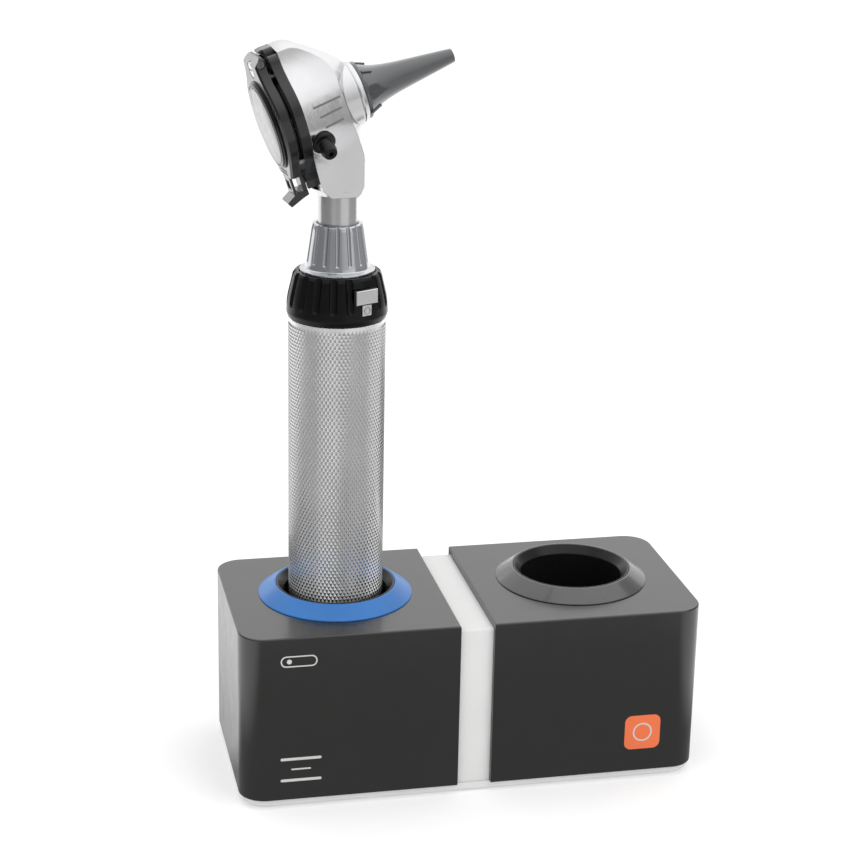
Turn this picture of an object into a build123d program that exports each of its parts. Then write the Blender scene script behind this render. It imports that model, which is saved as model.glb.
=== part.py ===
"""Otoscope standing in its two-well charging base, one STEP per separate piece.

Row frame, in millimetres: +X runs along the long side of the base, -Y is the base's front, +Z is up.
The origin is on the table, under the middle of the base. The handle stands in the left-hand well. The
head has two frames of its own: one turned about the handle's axis, and one also tilted along the
viewing axis, in which X is the distance along that axis (towards the ear), Y is sideways and Z is up.
"""
import math
import os

from build123d import *

# ---- Charging base -------------------------------------------------------------------------------
BASE_LENGTH = 143.0
BASE_DEPTH = 64.0
FOOT_HEIGHT = 0.6
PLATE_TOP = 3.0
BLOCK_TOP = 55.8
PLATE_INSET = 1.2
CORNER_RADIUS = 8.0
WALL = 2.2
SPINE_WIDTH = 10.4
SPINE_RECESS = 1.7
SPINE_DROP = 2.0
WELL_SPACING = 75.5
WELL_BACK = 1.0
WELL_BORE = 15.0
WELL_MOUTH = 15.8
WELL_CREST = 18.3
WELL_SHOULDER = 15.5
WELL_GUIDE_TOP = 37.0
WELL_FLOOR = 11.0
LIGHT_RING_RADIUS = 23.7
LIGHT_RING_RISE = 3.6
BOARD_BOTTOM = 5.0
BOARD_TOP = 6.6

# ---- Handle --------------------------------------------------------------------------------------
HANDLE_RADIUS = 14.5
TUBE_WALL = 1.2
HANDLE_SEAT = WELL_SHOULDER + 0.1
TUBE_BOTTOM = HANDLE_SEAT + 3.0
TUBE_TOP = 144.3
RING_BOTTOM = TUBE_TOP + 0.1
RING_TOP = 158.2
RING_BORE = 12.1
RING_FLUTES = 18
BUTTON_ANGLE = -64.7

# ---- Head ----------------------------------------------------------------------------------------
COLLAR_BOTTOM = 158.3
COLLAR_TOP = 172.5
COLLAR_FLUTES = 15
NECK_RADIUS = 5.8
NECK_BORE = 4.7
NECK_BOTTOM = 161.0
STEM_BOTTOM = 181.0
AXIS_HEIGHT = 208.7
HEAD_TURN = 6.3
VIEW_TILT = 18.3
FLANGE_X = -14.4
PLATE_X = -17.3
STEP_X = -18.7
FACE_X = -21.65
NOSE_X = 4.4
SEAT_X = 6.2
TIP_X = 36.1
LENS_RADIUS = 11.8
PIVOT_Z = 16.5
PORT_RADIUS = 2.3
SLIP = 0.1

HANDLE_AT = Location((-WELL_SPACING / 2, WELL_BACK, 0))
SPARE_AT = Location((WELL_SPACING / 2, WELL_BACK, 0))
HEAD_AT = HANDLE_AT * Location((0, 0, AXIS_HEIGHT), (0, 0, HEAD_TURN))
VIEW_AT = HEAD_AT * Location((0, 0, 0), (0, -VIEW_TILT, 0))
VIEW_AXIS_AT = VIEW_AT * Location((0, 0, 0), (0, 90, 0))


# ---- Shared shapes -------------------------------------------------------------------------------
def outline(corners):
    """Closed flat face through (x, y) corners; a third number rounds that corner."""
    face = make_face(Polyline(*[(c[0], c[1]) for c in corners], close=True))
    for c in corners:
        if len(c) == 3:
            corner = face.vertices().sort_by_distance((c[0], c[1]))[0]
            face = fillet(corner, c[2])
    return face


def turned(corners):
    """Solid of revolution about Z from (radius, height) corners."""
    return revolve(Plane.XZ * outline(corners), Axis.Z)


def tube(outer, inner, bottom, top):
    """Plain ring from its two radii and two heights."""
    return turned([(inner, bottom), (outer, bottom), (outer, top), (inner, top)])


def rod(radius, bottom, top, at=(0, 0)):
    """Plain cylinder between two heights."""
    return Pos(at[0], at[1], (bottom + top) / 2) * Cylinder(radius, top - bottom)


def block(x0, x1, y0, y1, z0, z1):
    """Box from its two corners."""
    return Pos((x0 + x1) / 2, (y0 + y1) / 2, (z0 + z1) / 2) * Box(x1 - x0, y1 - y0, z1 - z0)


def ring_of(radius, count, first=0.0):
    """Locations evenly round the Z axis, each with its own X pointing outwards."""
    step = 360.0 / count
    return [Rot(0, 0, first + step * i) * Pos(radius, 0, 0) for i in range(count)]


def across_view(x):
    """Plane square to the viewing axis: its x is sideways and its y is up."""
    return Plane(origin=(x, 0, 0), x_dir=(0, 1, 0), z_dir=(1, 0, 0))


def coil(radius, wire, height, turns, bottom):
    """Compression spring standing on a given height."""
    path = Pos(0, 0, bottom + wire) * Helix(height / turns, height, radius)
    section = Plane(origin=path @ 0, z_dir=path % 0) * Circle(wire)
    return sweep(section, path)


def countersunk_screw(head_radius, shank_radius, length):
    """Countersunk screw with its flat head face at z 0 and the shank running up."""
    cone = head_radius - shank_radius
    body = turned([(0, 0), (head_radius, 0), (shank_radius, cone), (shank_radius, length), (0, length)])
    slot = 0.5
    return body - Box(head_radius * 1.2, slot, 1.4) - Box(slot, head_radius * 1.2, 1.4)


def screw_cutter(head_radius, shank_radius, length):
    """The hole that a countersunk screw leaves, a little larger than the screw."""
    head, shank = head_radius + SLIP, shank_radius + SLIP / 2
    cone = head - shank
    return turned([(0, -1), (head, -1), (head, 0), (shank, cone), (shank, length + 1), (0, length + 1)])


def save(name, *solids):
    """Writes one node; several loose solids go in as one compound."""
    shape = solids[0] if len(solids) == 1 else Compound(children=list(solids))
    export_step(shape, f"parts/{name}.step")


# ---- Charging base -------------------------------------------------------------------------------
BOSS_RADIUS = 4.2
SCREW = (2.3, 1.2, 8.0)
SCREW_Z = FOOT_HEIGHT
OUTER_BOSS_X = BASE_LENGTH / 2 - 6.0
INNER_BOSS_X = SPINE_WIDTH / 2 + 5.4
BOSS_Y = BASE_DEPTH / 2 - 6.0
BOARD_HALF = (60.0, 21.0)
SOCKET_X = 56.0
SOCKET_Z = 12.4
SPINE_FOOT_Y = 26.0
PUSHED_RISE = 0.1
FREE_RISE = 1.6


def screw_places():
    """(x, y) of every screw that comes up through the base plate."""
    places = [(sx * x, sy * BOSS_Y) for x in (OUTER_BOSS_X, INNER_BOSS_X) for sx in (-1, 1) for sy in (-1, 1)]
    return places + [(0, -SPINE_FOOT_Y), (0, SPINE_FOOT_Y)]


def foot_places():
    """(x, y) of the four rubber feet."""
    return [(sx * 52.0, sy * 20.0) for sx in (-1, 1) for sy in (-1, 1)]


def base_plate():
    """Flat floor of the base, inset all round, with pockets for the feet and screws."""
    size = (BASE_LENGTH - 2 * PLATE_INSET, BASE_DEPTH - 2 * PLATE_INSET)
    face = RectangleRounded(*size, CORNER_RADIUS - PLATE_INSET)
    plate = Pos(0, 0, FOOT_HEIGHT) * extrude(face, PLATE_TOP - FOOT_HEIGHT)
    plate = chamfer(plate.faces().sort_by(Axis.Z)[0].outer_wire().edges(), 0.25)
    for x, y in foot_places():
        plate -= rod(5.05, 0, FOOT_HEIGHT + 0.8, (x, y))
    for x, y in screw_places():
        plate -= Pos(x, y, SCREW_Z) * screw_cutter(*SCREW)
    for x in (-BOARD_HALF[0] + 4, -14.0, 14.0, BOARD_HALF[0] - 4):
        for y in (-BOARD_HALF[1] + 4, BOARD_HALF[1] - 4):
            plate += rod(2.2, PLATE_TOP, BOARD_BOTTOM, (x, y))
    return plate


def rubber_feet():
    """Four soft pads pressed into the plate."""
    pad = chamfer(rod(5.0, 0, FOOT_HEIGHT + 0.75).edges().sort_by(Axis.Z)[0], 0.3)
    return [Pos(x, y, 0) * pad for x, y in foot_places()]


def housing(side):
    """One hollow block of the base, open below; side is -1 for the left and 1 for the right."""
    near, far = SPINE_WIDTH / 2, BASE_LENGTH / 2
    half = BASE_DEPTH / 2
    corners = [(near, -half), (far, -half, CORNER_RADIUS), (far, half, CORNER_RADIUS), (near, half)]
    inside = [
        (near + WALL, -half + WALL),
        (far - WALL, -half + WALL, CORNER_RADIUS - WALL),
        (far - WALL, half - WALL, CORNER_RADIUS - WALL),
        (near + WALL, half - WALL),
    ]
    shell = Pos(0, 0, PLATE_TOP) * extrude(outline(corners), BLOCK_TOP - PLATE_TOP)
    shell = fillet(shell.faces().sort_by(Axis.Z)[-1].outer_wire().edges(), 0.5)
    shell -= Pos(0, 0, PLATE_TOP) * extrude(outline(inside), BLOCK_TOP - PLATE_TOP - WALL)
    for x in (INNER_BOSS_X, OUTER_BOSS_X):
        for y in (-BOSS_Y, BOSS_Y):
            shell += rod(BOSS_RADIUS, PLATE_TOP, PLATE_TOP + 11.0, (x, y))
            shell -= rod(SCREW[1] + SLIP / 2, PLATE_TOP, PLATE_TOP + 8.0, (x, y))
    cable_slot = block(near - 1, near + WALL + 1, -BOARD_HALF[1] - 0.5, BOARD_HALF[1] + 0.5, PLATE_TOP, 10.0)
    shell -= cable_slot
    shell -= rod(20.7, BLOCK_TOP - 5, BLOCK_TOP + 1, (WELL_SPACING / 2, WELL_BACK * side))
    if side > 0:
        hole = Pos(SOCKET_X, half, SOCKET_Z) * Rot(90, 0, 0) * Cylinder(5.0, 3 * WALL)
        return shell - hole
    return Rot(0, 0, 180) * shell


def centre_spine():
    """Bent strip between the two blocks, with a screw foot at each end."""
    half = SPINE_WIDTH / 2 - 0.05
    front, top = BASE_DEPTH / 2 - SPINE_RECESS, BLOCK_TOP - SPINE_DROP
    arch = block(-half, half, -front, front, PLATE_TOP, top)
    arch = fillet(arch.edges().filter_by(Axis.X).group_by(Axis.Z)[-1], 0.8)
    arch -= block(-half - 1, half + 1, -front + WALL, front - WALL, PLATE_TOP - 1, top - WALL)
    for side in (-1, 1):
        foot = block(-half, half, 22.0, front - 1, PLATE_TOP, PLATE_TOP + 3.0)
        foot -= rod(SCREW[1] + SLIP / 2, PLATE_TOP, PLATE_TOP + 4.0, (0, SPINE_FOOT_Y))
        arch += foot if side > 0 else mirror(foot, Plane.XZ)
    for y in (-SPINE_FOOT_Y, SPINE_FOOT_Y):
        arch += rod(3.0, PLATE_TOP + 3.0, PLATE_TOP + 7.5, (0, y))
        arch -= rod(SCREW[1] + SLIP / 2, PLATE_TOP, PLATE_TOP + 7.0, (0, y))
    return arch


def well_cup():
    """Deep cup that a handle stands in, with a lip that shows inside the light ring."""
    lip_top = BLOCK_TOP + LIGHT_RING_RISE
    cup = turned([
        (2.6, WELL_FLOOR - 2.0),
        (17.2, WELL_FLOOR - 2.0),
        (17.2, WELL_GUIDE_TOP),
        (18.1, WELL_GUIDE_TOP + 2.0),
        (18.1, BLOCK_TOP),
        (WELL_CREST, BLOCK_TOP + 0.4),
        (WELL_CREST, lip_top, 0.25),
        (WELL_CREST - 0.5, lip_top, 0.25),
        (WELL_MOUTH, lip_top - 2.4, 0.5),
        (WELL_MOUTH, WELL_GUIDE_TOP + 3.0),
        (WELL_BORE, WELL_GUIDE_TOP),
        (WELL_BORE, WELL_SHOULDER),
        (12.0, WELL_SHOULDER),
        (12.0, WELL_FLOOR),
        (2.6, WELL_FLOOR),
    ])
    for place in ring_of(9.2, 2, 90):
        cup -= place * Pos(0, 0, WELL_FLOOR - 1) * Box(1.6, 4.6, 4)
    return cup


def light_ring():
    """Sloping ring round the well; its skirt passes through the housing to the lights below."""
    crest = BLOCK_TOP + LIGHT_RING_RISE
    inner = WELL_CREST + 0.05
    return turned([
        (inner, BLOCK_TOP + 0.45),
        (inner, crest - 0.02, 0.2),
        (inner + 0.5, crest - 0.02, 0.3),
        (LIGHT_RING_RADIUS, BLOCK_TOP + 0.3, 0.25),
        (LIGHT_RING_RADIUS, BLOCK_TOP + 0.02),
        (20.6, BLOCK_TOP + 0.02),
        (20.6, BLOCK_TOP - WALL),
        (18.8, BLOCK_TOP - WALL),
        (18.8, BLOCK_TOP + 0.45),
    ])


def ring_led_board():
    """Thin annular board with six lights facing up into the skirt."""
    board = tube(22.5, 18.4, BLOCK_TOP - 4.6, BLOCK_TOP - 3.6)
    for place in ring_of(19.7, 6):
        board += place * Pos(0, 0, BLOCK_TOP - 3.1) * Box(1.4, 2.2, 1.0)
    return board


def charger_board():
    """Main board that links both wells under the spine."""
    x, y = BOARD_HALF
    board = block(-x, x, -y, y, BOARD_BOTTOM, BOARD_TOP)
    board = fillet(board.edges().filter_by(Axis.Z), 1.5)
    return board


def board_components():
    """Charge controllers, coil, capacitors and connector standing on the main board."""
    top = BOARD_TOP
    parts = [
        block(-17, -9, -6, 2, top, top + 1.4),
        block(9, 17, -6, 2, top, top + 1.4),
        block(-4, 4, 8, 14, top, top + 1.1),
        fillet(block(-4, 4, -16, -8, top, top + 2.2).edges().filter_by(Axis.Z), 1.0),
        rod(1.8, top, top + 1.9, (13, 10)),
        rod(1.8, top, top + 1.9, (-13, 10)),
    ]
    return parts + [block(x, x + 2.2, 16.5, 17.8, top, top + 0.6) for x in (-17, -12, -7, 7, 12, 17)]


def power_socket():
    """Round low-voltage inlet at the back of the right-hand block, with its centre pin."""
    face = BASE_DEPTH / 2 - 0.2
    body = block(SOCKET_X - 4.5, SOCKET_X + 4.5, 13.0, face - WALL, BOARD_TOP, SOCKET_Z + 4.5)
    axis = Pos(SOCKET_X, 0, SOCKET_Z) * Rot(-90, 0, 0)
    body += axis * rod(4.8, face - WALL - 1, face)
    body -= axis * rod(2.85, face - 10.0, face + 1)
    body += axis * rod(1.0, face - 10.5, face - 0.6)
    return body


def contact_sleeve():
    """Brass barrel that guides a well's spring contact."""
    return turned([(1.35, BOARD_TOP), (2.45, BOARD_TOP), (2.45, WELL_FLOOR - 0.6), (1.35, WELL_FLOOR - 0.6)])


def contact_plunger(rise):
    """Round-nosed spring contact, standing up from the well's floor by rise."""
    tip = WELL_FLOOR + rise
    bottom = tip - 2.4
    return turned([(0, bottom), (1.25, bottom), (1.25, tip, 0.6), (0, tip)])


def plunger_spring(rise):
    """Fine coil under a spring contact; a pushed-down contact closes its coil up."""
    height = WELL_FLOOR + rise - 2.4 - BOARD_TOP - 0.5
    return coil(0.95, 0.14, height, 4, BOARD_TOP + 0.05)


def leaf_contacts():
    """Pair of bent spring strips that touch the handle's outer contact ring."""
    strips = []
    for place in ring_of(9.2, 2, 90):
        foot = block(-0.15, 0.15, -2.0, 2.0, BOARD_TOP, WELL_FLOOR + 0.02)
        bow = Pos(0, 0, WELL_FLOOR) * block(-0.15, 0.15, -2.0, 2.0, -0.5, 0.05)
        strips.append(place * (foot + bow))
    return strips


def build_base():
    """Writes every piece of the charging base."""
    save("base_plate", base_plate())
    save("rubber_feet", *rubber_feet())
    save("base_screws", *[Pos(x, y, SCREW_Z + 0.05) * countersunk_screw(*SCREW) for x, y in screw_places()])
    save("left_housing", housing(-1))
    save("right_housing", housing(1))
    save("centre_spine", centre_spine())
    save("left_well_cup", HANDLE_AT * well_cup())
    save("right_well_cup", SPARE_AT * well_cup())
    save("left_light_ring", HANDLE_AT * light_ring())
    save("right_light_ring", SPARE_AT * light_ring())
    save("ring_led_boards", HANDLE_AT * ring_led_board(), SPARE_AT * ring_led_board())
    save("charger_board", charger_board())
    save("board_components", *board_components())
    save("power_socket", power_socket())
    save("contact_sleeves", HANDLE_AT * contact_sleeve(), SPARE_AT * contact_sleeve())
    save("left_contact_plunger", HANDLE_AT * contact_plunger(PUSHED_RISE))
    save("right_contact_plunger", SPARE_AT * contact_plunger(FREE_RISE))
    save("left_plunger_spring", HANDLE_AT * plunger_spring(PUSHED_RISE))
    save("right_plunger_spring", SPARE_AT * plunger_spring(FREE_RISE))
    save("leaf_contacts", *[at * s for at in (HANDLE_AT, SPARE_AT) for s in leaf_contacts()])


# ---- Handle --------------------------------------------------------------------------------------
TUBE_BORE = HANDLE_RADIUS - TUBE_WALL
SNOUT_BOTTOM = WELL_FLOOR + 0.15
PLUG_TOP = TUBE_BOTTOM + 5.0
BATTERY_BOTTOM = PLUG_TOP + 6.0
BATTERY_TOP = BATTERY_BOTTOM + 92.0
CORE_BOTTOM = 132.0
SOCKET_BORE = 7.7
SPIGOT = SOCKET_BORE - SLIP
LUG_REACH = 9.0
LUG_Z = (150.2, 152.2)
CONTACT_TOP = 148.0


def handle_tube():
    """Grip tube; its fine knurl is left off here."""
    grip = tube(HANDLE_RADIUS, TUBE_BORE, TUBE_BOTTOM, TUBE_TOP)
    return chamfer(grip.faces().sort_by(Axis.Z)[-1].outer_wire().edges(), 0.2)


def end_cap():
    """Screw-in plug at the foot of the handle, stepped to fit the well."""
    return turned([
        (2.6, SNOUT_BOTTOM),
        (11.3, SNOUT_BOTTOM, 0.5),
        (11.3, HANDLE_SEAT),
        (HANDLE_RADIUS - 0.2, HANDLE_SEAT, 0.5),
        (HANDLE_RADIUS - 0.2, TUBE_BOTTOM - 0.02),
        (TUBE_BORE - 0.05, TUBE_BOTTOM - 0.02),
        (TUBE_BORE - 0.05, PLUG_TOP),
        (9.5, PLUG_TOP),
        (9.5, HANDLE_SEAT + 2.0),
        (2.6, HANDLE_SEAT + 2.0),
    ]) - tube(10.3, 7.9, SNOUT_BOTTOM - 1, SNOUT_BOTTOM + 0.6)


def end_contact():
    """Centre stud that meets the well's spring contact and carries the battery spring."""
    return turned([
        (0, SNOUT_BOTTOM),
        (2.5, SNOUT_BOTTOM),
        (2.5, HANDLE_SEAT + 2.05),
        (6.5, HANDLE_SEAT + 2.05),
        (6.5, HANDLE_SEAT + 2.8),
        (0, HANDLE_SEAT + 2.8),
    ])


def battery_cell():
    """Rechargeable cell with its raised positive button."""
    return turned([
        (0, BATTERY_BOTTOM),
        (12.6, BATTERY_BOTTOM, 0.8),
        (12.6, BATTERY_TOP, 0.8),
        (5.0, BATTERY_TOP),
        (5.0, BATTERY_TOP + 1.6, 0.4),
        (0, BATTERY_TOP + 1.6),
    ])


def battery_spring():
    """Coil between the end contact and the cell."""
    bottom = HANDLE_SEAT + 2.85
    return coil(5.0, 0.5, BATTERY_BOTTOM - bottom - 1.1, 4, bottom)


def socket_core():
    """Turned metal core: plug in the tube, bearing for the ring, socket for the head."""
    core = turned([
        (SOCKET_BORE, 146.4),
        (5.2, 146.4),
        (5.2, 136.0),
        (11.0, 136.0),
        (11.0, CORE_BOTTOM),
        (TUBE_BORE - 0.05, CORE_BOTTOM),
        (TUBE_BORE - 0.05, TUBE_TOP - 0.1),
        (RING_BORE - SLIP, TUBE_TOP - 0.1),
        (RING_BORE - SLIP, 154.6),
        (10.9, 154.6),
        (10.9, 157.4),
        (SOCKET_BORE, 157.4),
    ])
    core -= tube(RING_BORE, 11.2, 147.2, 149.0)
    core -= tube(11.2, 10.3, 155.4, 156.2)
    core -= tube(LUG_REACH + 0.2, SOCKET_BORE - 0.5, LUG_Z[0] - 0.15, LUG_Z[1] + 0.15)
    for place in ring_of(0, 2, HEAD_TURN + 90 - 60):
        core -= place * block(0, LUG_REACH + 0.2, -1.9, 1.9, LUG_Z[0] - 0.1, 158)
    return core


def control_board():
    """Round brightness board held in the foot of the core, with its parts."""
    board = tube(10.8, 1.7, CORE_BOTTOM + 1.2, CORE_BOTTOM + 2.4)
    for place in ring_of(6.5, 4, 20):
        board += place * Pos(0, 0, CORE_BOTTOM + 0.7) * Box(2.6, 3.4, 1.0)
    return board


def contact_insulator():
    """Plastic sleeve that holds the centre contact clear of the core."""
    return turned([(1.6, 136.2), (5.1, 136.2), (5.1, 147.2), (1.6, 147.2)])


def head_contact_pin():
    """Spring contact that feeds the lamp in the head."""
    return turned([
        (0, BATTERY_TOP + 1.65),
        (1.5, BATTERY_TOP + 1.65),
        (1.5, CONTACT_TOP, 0.5),
        (0, CONTACT_TOP),
    ])


def ring_retainer():
    """Spring clip that keeps the brightness ring on the core."""
    clip = tube(11.55, 10.35, 155.45, 156.15)
    return clip - block(8, 13, -1.5, 1.5, 155, 157)


def friction_ring():
    """Rubber ring in the core's groove that gives the brightness ring its drag."""
    return tube(RING_BORE - 0.05, 11.25, 147.35, 148.85)


def brightness_ring():
    """Fluted control ring with a pocket for its lock button."""
    body = turned([
        (RING_BORE, RING_BOTTOM),
        (14.55, RING_BOTTOM, 0.2),
        (15.05, RING_BOTTOM + 1.5, 1.5),
        (14.85, 150.0, 20),
        (13.15, RING_TOP - 0.9, 1.2),
        (12.5, RING_TOP, 0.4),
        (11.35, RING_TOP),
        (11.35, RING_TOP - 1.6),
        (RING_BORE, RING_TOP - 1.6),
    ])
    depth, cutter, lean = 0.8, 1.35, 13.0
    flute = Pos(0, 0, 15) * Cylinder(cutter, 30) + Sphere(cutter)
    place = Pos(15.0 + cutter - depth, 0, 149.2) * Rot(0, -lean, 0)
    for i in range(1, RING_FLUTES):
        body -= Rot(0, 0, BUTTON_ANGLE + 360 / RING_FLUTES * i) * place * flute
    pocket = block(12.6, 17, -3.9, 3.9, 150.8, 155.4) + block(14.2, 17, -1.7, 1.7, 147.4, 150.9)
    return body - Rot(0, 0, BUTTON_ANGLE) * pocket


def release_button():
    """Lock button that is pushed inwards before the ring will turn."""
    face = block(13.85, 15.35, -3.75, 3.75, 150.95, 155.25)
    face = fillet(face.edges().group_by(Axis.X)[-1], 0.35)
    return Rot(0, 0, BUTTON_ANGLE) * face


def index_plate():
    """Small plate under the button with a round off mark."""
    plate = block(14.25, 15.2, -1.6, 1.6, 147.5, 150.8)
    plate = fillet(plate.edges().group_by(Axis.X)[-1], 0.2)
    mark = Pos(15.1, 0, 149.1) * Rot(0, 90, 0) * (Cylinder(1.15, 0.5) - Cylinder(0.8, 0.5))
    return Rot(0, 0, BUTTON_ANGLE) * (plate - mark)


def button_spring():
    """Bowed leaf behind the lock button."""
    bow = block(12.65, 12.8, -2.6, 2.6, 152.4, 153.8)
    return Rot(0, 0, BUTTON_ANGLE) * bow


def build_handle():
    """Writes every piece of the handle and its control ring."""
    save("handle_tube", HANDLE_AT * handle_tube())
    save("end_cap", HANDLE_AT * end_cap())
    save("end_contact", HANDLE_AT * end_contact())
    save("end_ring_contact", HANDLE_AT * tube(10.25, 7.95, SNOUT_BOTTOM, SNOUT_BOTTOM + 0.55))
    save("battery_cell", HANDLE_AT * battery_cell())
    save("battery_spring", HANDLE_AT * battery_spring())
    save("socket_core", HANDLE_AT * socket_core())
    save("control_board", HANDLE_AT * control_board())
    save("contact_insulator", HANDLE_AT * contact_insulator())
    save("head_contact_pin", HANDLE_AT * head_contact_pin())
    save("ring_retainer", HANDLE_AT * ring_retainer())
    save("friction_ring", HANDLE_AT * friction_ring())
    save("brightness_ring", HANDLE_AT * brightness_ring())
    save("release_button", HANDLE_AT * release_button())
    save("index_plate", HANDLE_AT * index_plate())
    save("button_spring", HANDLE_AT * button_spring())


# ---- Head: collar, neck and lamp -----------------------------------------------------------------
def bayonet_collar():
    """Fluted cone that carries the neck and locks into the handle with two lugs."""
    body = turned([
        (NECK_RADIUS + 0.05, COLLAR_TOP - 1.2),
        (NECK_RADIUS + 0.55, COLLAR_TOP, 0.2),
        (7.35, COLLAR_TOP, 0.6),
        (7.75, COLLAR_TOP - 1.4, 1.0),
        (9.35, 160.3, 0.6),
        (9.6, 159.3, 0.5),
        (11.15, 158.9, 0.2),
        (11.15, COLLAR_BOTTOM),
        (9.4, COLLAR_BOTTOM),
        (9.4, 157.6),
        (SPIGOT, 157.6),
        (SPIGOT, 149.4),
        (NECK_RADIUS - 1.3, 149.4),
        (NECK_RADIUS - 1.3, NECK_BOTTOM),
        (NECK_RADIUS + 0.05, NECK_BOTTOM),
    ])
    cutter, depth = 0.62, 0.5
    lean = math.degrees(math.atan2(1.7, 11.0))
    flute = Pos(0, 0, 10) * Cylinder(cutter, 20) + Sphere(cutter)
    place = Pos(9.25 + cutter - depth, 0, 161.4) * Rot(0, -lean, 0)
    for turn in ring_of(0, COLLAR_FLUTES, -100):
        body -= turn * place * flute
    for place in ring_of(0, 2, HEAD_TURN + 90):
        body += place * block(SPIGOT - 0.6, LUG_REACH, -1.6, 1.6, *LUG_Z)
    return body


def neck_tube():
    """Plain bright tube between the collar and the housing."""
    return tube(NECK_RADIUS, NECK_BORE, NECK_BOTTOM + 0.02, STEM_BOTTOM + 7.0)


def led_module():
    """Lamp cartridge in the neck, with its domed lens and cooling grooves."""
    top = STEM_BOTTOM + 1.0
    body = turned([(0, 163.0), (4.2, 163.0), (4.2, top - 3.0), (3.0, top - 3.0), (3.0, top, 1.2), (0, top)])
    for z in (165.0, 167.0, 169.0, 171.0):
        body -= tube(4.6, 3.6, z, z + 0.8)
    return body


def lamp_contact():
    """Stud that carries current from the handle's contact up to the lamp."""
    return turned([(0, CONTACT_TOP + 0.05), (1.6, CONTACT_TOP + 0.05), (1.6, 162.95), (0, 162.95)])


def contact_bush():
    """Plastic bush that centres the stud in the collar."""
    return tube(4.4, 1.65, 150.0, 160.5)


# ---- Head: housing -------------------------------------------------------------------------------
CROWN = [
    (-14.4, 20.9), (-11.5, 21.3), (-9.0, 20.6), (-6.5, 18.9),
    (-2.5, 16.1), (0.4, 13.9), (2.9, 11.4), (4.0, 8.6),
]
FRONT = [(4.3, -8.2), (3.1, -10.6), (2.3, -15.8), (-1.4, -25.3), (-3.6, -26.9)]
CREASE = [
    (-14.4, 20.0), (-12.4, 19.6), (-10.5, 19.4), (-8.0, 18.1),
    (-4.4, 14.4), (-2.4, 11.5), (-1.4, 9.0), (-0.9, 6.7),
]
CREASE_FRONT = [(-0.4, -7.9), (-0.5, -12.6), (-0.3, -16.1), (-2.8, -24.7), (-3.9, -26.6)]
CROWN_HALF = 3.0
CREASE_HALF = 10.5


def side_outline(crown, front):
    """Side view of the housing in the viewing frame (x along the axis, y up)."""
    stem = Polyline(crown[-1], *front, (-5.1, -27.3), (-12.5, -24.8), (-14.4, -21.6))
    back = Line((-14.4, -21.6), crown[0])
    return Plane.XZ * make_face(Curve() + [Spline(*crown), stem, back])


def flank(x, half_widths):
    """Outline square to the viewing axis from (half width, height) pairs, top to bottom."""
    right = Spline(*half_widths)
    (w_top, top), (w_low, low) = half_widths[0], half_widths[-1]
    left = Spline(*[(-w, z) for w, z in half_widths])
    edges = [right, left, Line((-w_top, top), (w_top, top)), Line((-w_low, low), (w_low, low))]
    return across_view(x) * make_face(Curve() + edges)


def flank_wedge():
    """Solid between the two flanks, which close in from the eyepiece to the nose."""
    rear = flank(FLANGE_X - 2, [
        (7.4, 26), (7.6, 20), (8.2, 16.5), (11.0, 12.9), (14.2, 9.7), (16.5, 6.0), (17.0, 2.0),
        (16.4, -2.8), (13.6, -8), (10.4, -13), (9.0, -18), (8.2, -24), (7.9, -30), (7.8, -38),
    ])
    front = flank(12.0, [
        (3.4, 26), (4.0, 20), (4.4, 16.5), (4.9, 12.9), (5.4, 9.7), (6.0, 6.0), (6.4, 2.0), (6.8, -2.8),
        (7.1, -8), (7.3, -13), (7.5, -18), (7.7, -24), (7.7, -30), (7.7, -38),
    ])
    return loft([rear, front])


def housing_body():
    """Outer form: a crown with a bevel that widens towards the nose on both flanks."""
    middle = side_outline(CROWN, FRONT)
    cheek = side_outline(CREASE, CREASE_FRONT)
    body = extrude(middle, CROWN_HALF, both=True)
    for away in (-1, 1):
        near = Pos(0, CROWN_HALF * away, 0) * middle
        far = Pos(0, CREASE_HALF * away, 0) * cheek
        body += loft([near, far], ruled=True)
        body += extrude(far, 8, dir=(0, away, 0))
    return body & flank_wedge()


def stem_collar():
    """Round collar where the head meets the neck, kept clear of the plate."""
    top = STEM_BOTTOM + 13
    low = STEM_BOTTOM
    collar = turned([(0, low), (6.4, low), (8.1, low + 2.0), (8.1, top - 3), (5, top), (0, top)])
    return HANDLE_AT * collar - VIEW_AT * block(-30, FLANGE_X, -20, 20, -21.0, 0)


def port_at():
    """Location on the flank where the air port stands, with Z pointing out of the metal."""
    return Location((-10.8, -13.0, -6.85), (118, 0, 0))


def head_housing():
    """Hollow metal head: viewing tunnel, stem bore, neck socket and air passage."""
    body = VIEW_AT * housing_body() + stem_collar()
    nose_boss = turned([(0, -3), (9.9, -3), (9.9, 0), (9.6, NOSE_X - 0.05, 0.4), (0, NOSE_X - 0.05)])
    body += VIEW_AXIS_AT * nose_boss
    rear = FLANGE_X - 3
    tunnel = turned([(0, rear), (9.4, rear), (9.4, FLANGE_X + 1), (7.0, -1), (6.9, 8), (0, 8)])
    body -= VIEW_AXIS_AT * tunnel
    body -= HANDLE_AT * rod(NECK_RADIUS + 0.03, STEM_BOTTOM - 2, STEM_BOTTOM + 7.05)
    body -= HANDLE_AT * rod(3.4, STEM_BOTTOM, STEM_BOTTOM + 20)
    body -= VIEW_AT * port_at() * (rod(1.0, -8, 0) + rod(2.5, -2, 0) + rod(3.6, -0.3, 6))
    for y, z in PLATE_SCREWS:
        body -= VIEW_AT * Pos(0, y, z) * Rot(0, 90, 0) * rod(0.85, FLANGE_X - 1, FLANGE_X + 3.1)
    body -= VIEW_AT * Pos(0, 0, PIVOT_Z) * Rot(0, 90, 0) * rod(1.52, FLANGE_X - 1, FLANGE_X + 3.1)
    return body


PLATE_SCREWS = [(-11.6, 0.5), (11.6, 0.5), (0, -13.4)]


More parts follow.
